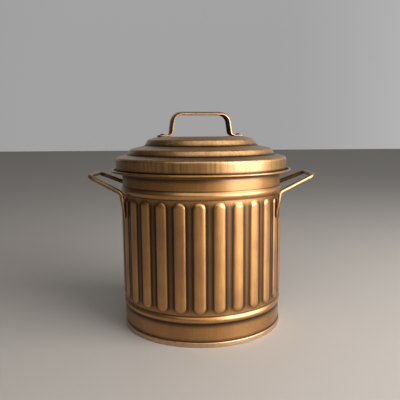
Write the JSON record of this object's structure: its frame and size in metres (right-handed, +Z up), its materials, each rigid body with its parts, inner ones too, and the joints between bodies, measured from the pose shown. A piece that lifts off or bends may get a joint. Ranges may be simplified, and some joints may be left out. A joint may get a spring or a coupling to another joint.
{
  "type": "trash can",
  "caption": "Small countertop bin in dustbin form: fluted round metal wall with rolled rim, bent-rod side handles and a tiered lift-off lid with a strap handle.",
  "frame": {"origin": "centre of the ring that the bin stands on", "axes": "+Z up along the bin's axis; the side handles lie along X; the picture is taken from -Y"},
  "size_m": [0.2618, 0.2118, 0.2501],
  "materials": {
    "body_metal": "brushed antique brass",
    "lid_metal": "brushed antique brass",
    "handle_metal": "satin antique brass",
    "wire_metal": "drawn wire",
    "rivet_metal": "plain"
  },
  "bodies": {
    "can": {"can_wall": "body_metal", "rim_wire": "wire_metal", "base_pan": "body_metal", "left_handle": "handle_metal", "right_handle": "handle_metal"},
    "lid": {"lid_shell": "lid_metal", "lid_handle": "handle_metal", "lid_rivets": "rivet_metal"}
  },
  "joints": [
    {"name": "lid_lift", "type": "slide", "parent": "can", "child": "lid", "axis": [0, 0, 1], "range_m": [0, 0.1]}
  ]
}
